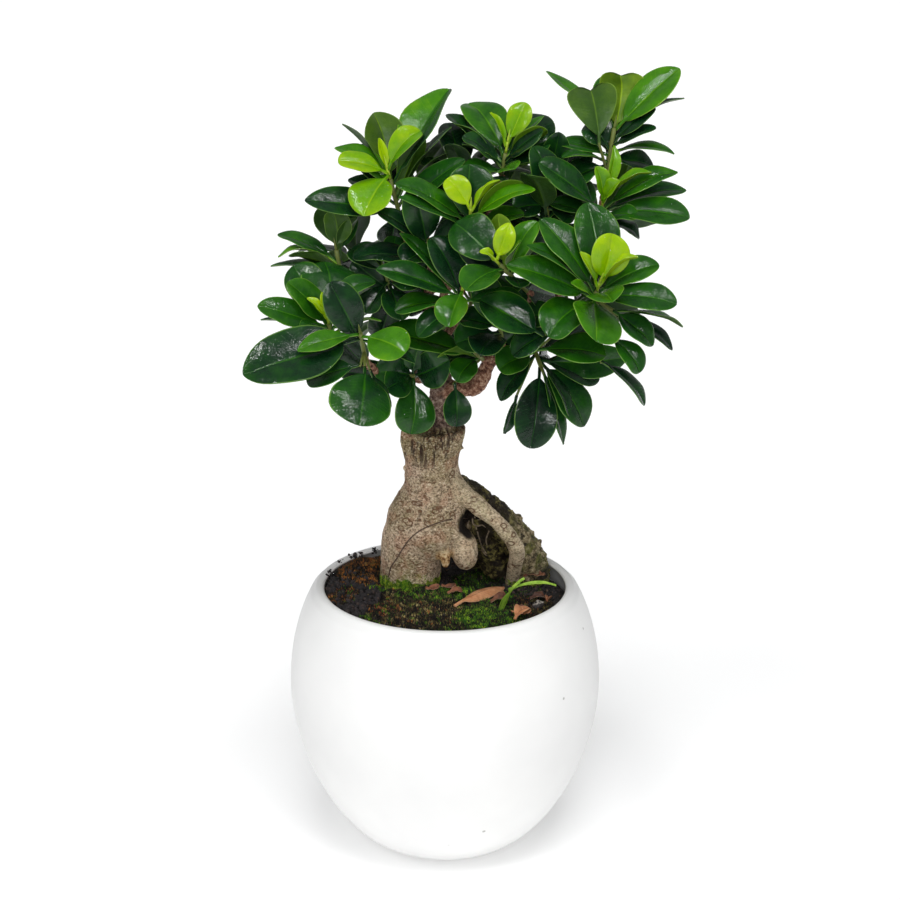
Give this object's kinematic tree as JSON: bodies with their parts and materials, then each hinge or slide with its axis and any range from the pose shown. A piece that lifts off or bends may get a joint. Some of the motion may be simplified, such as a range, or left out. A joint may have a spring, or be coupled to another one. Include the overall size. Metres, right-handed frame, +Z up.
{
  "type": "potted bonsai fig",
  "caption": "Small ginseng ficus bonsai with a swollen root, a grafted leafy crown and moss on its soil, in a white egg-shaped pot with a flat foot.",
  "frame": {"origin": "centre of the pot's flat foot", "axes": "+Z up along the pot's axis, -Y towards the plant's front, +X to the right as seen from the front"},
  "size_m": [0.1975, 0.1603, 0.3743],
  "materials": {
    "glazed_white": "satin white glaze",
    "potting_soil": "damp peat and bark crumbs",
    "bark": "matt speckled bark",
    "leaf_green": "glossy dark green leaf",
    "leaf_lime": "glossy yellow-green young leaf",
    "moss_green": "short soft moss",
    "moss_brown": "dry brown moss",
    "dry_leaf": "dry curled leaf",
    "grass_green": "fresh grass",
    "stone_grey": "dull dark stone",
    "dead_bark": "weathered bark"
  },
  "bodies": {
    "root": {"pot": "glazed_white", "soil": "potting_soil", "wood": "bark", "moss_green": "moss_green", "moss_brown": "moss_brown", "dry_leaf": "dry_leaf", "grass_sprout": "grass_green", "dark_stone": "stone_grey", "bark_chip_front": "dead_bark", "bark_chip_left": "dead_bark", "bark_chip_middle": "dead_bark", "bark_chip_right": "dead_bark", "shoot_upper_left": "leaf_green", "shoot_top_middle": "leaf_green", "shoot_centre": "leaf_green", "shoot_top_right": "leaf_green", "shoot_right": "leaf_green", "shoot_front_right": "leaf_green", "shoot_front_middle": "leaf_green", "shoot_low_middle": "leaf_green", "shoot_left": "leaf_green", "shoot_low_left": "leaf_green", "shoot_front_left": "leaf_green", "shoot_trunk_left": "leaf_green", "shoot_trunk_right": "leaf_green", "shoot_hanging_right": "leaf_green", "shoot_inner_left": "leaf_green", "shoot_inner_middle": "leaf_green", "shoot_inner_right": "leaf_green", "shoot_inner_low": "leaf_green", "shoot_inner_upper": "leaf_green", "shoot_back_left": "leaf_green", "shoot_back_upper_left": "leaf_green", "shoot_back_top": "leaf_green", "shoot_back_middle": "leaf_green", "shoot_back_upper_right": "leaf_green", "shoot_back_right": "leaf_green", "shoot_back_low_right": "leaf_green", "shoot_back_low_left": "leaf_green", "shoot_back_low_middle": "leaf_green", "young_upper_left": "leaf_lime", "young_top_middle": "leaf_lime", "young_centre": "leaf_lime", "young_right": "leaf_lime", "young_front_right": "leaf_lime", "young_front_middle": "leaf_lime", "young_low_middle": "leaf_lime", "young_low_left": "leaf_lime"}
  },
  "joints": []
}
